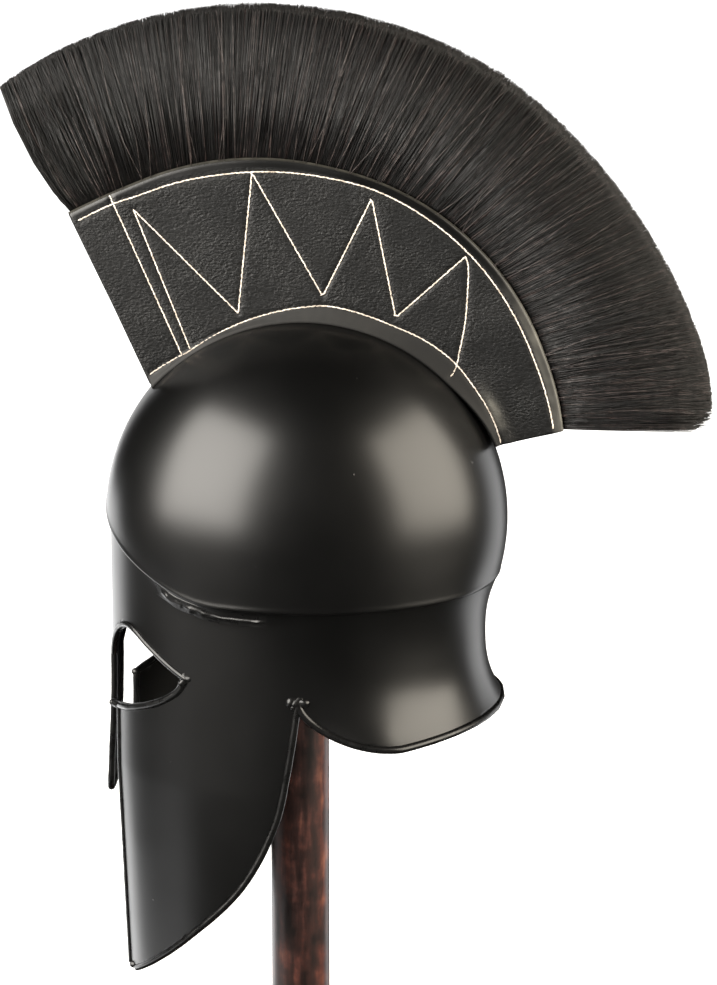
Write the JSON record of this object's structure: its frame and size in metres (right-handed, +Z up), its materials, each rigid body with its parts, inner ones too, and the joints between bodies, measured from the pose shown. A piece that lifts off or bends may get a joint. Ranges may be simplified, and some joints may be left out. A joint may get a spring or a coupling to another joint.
{
  "type": "crested greek helmet on a wooden stand",
  "caption": "Black painted steel helmet in the Corinthian style with a bristle crest in a stitched leather holder, on a plain turned wooden stand.",
  "frame": {"origin": "centre of the stand's bottom face", "axes": "+Z up, -Y the way the face looks, +X the wearer's left"},
  "size_m": [0.212, 0.4376, 0.7135],
  "materials": {
    "black_paint": "satin black paint on sheet steel",
    "black_leather": "grained black leather",
    "dark_bristle": "trimmed dark brown black bristle",
    "dark_wood": "mahogany stain under varnish"
  },
  "bodies": {
    "root": {"helmet_shell": "black_paint", "crest_core": "dark_wood", "crest_cover_left": "black_leather", "crest_cover_right": "black_leather", "crest_end_front": "black_leather", "crest_end_rear": "black_leather", "crest_plume": "dark_bristle", "stand_post": "dark_wood", "stand_base": "dark_wood"}
  },
  "joints": []
}
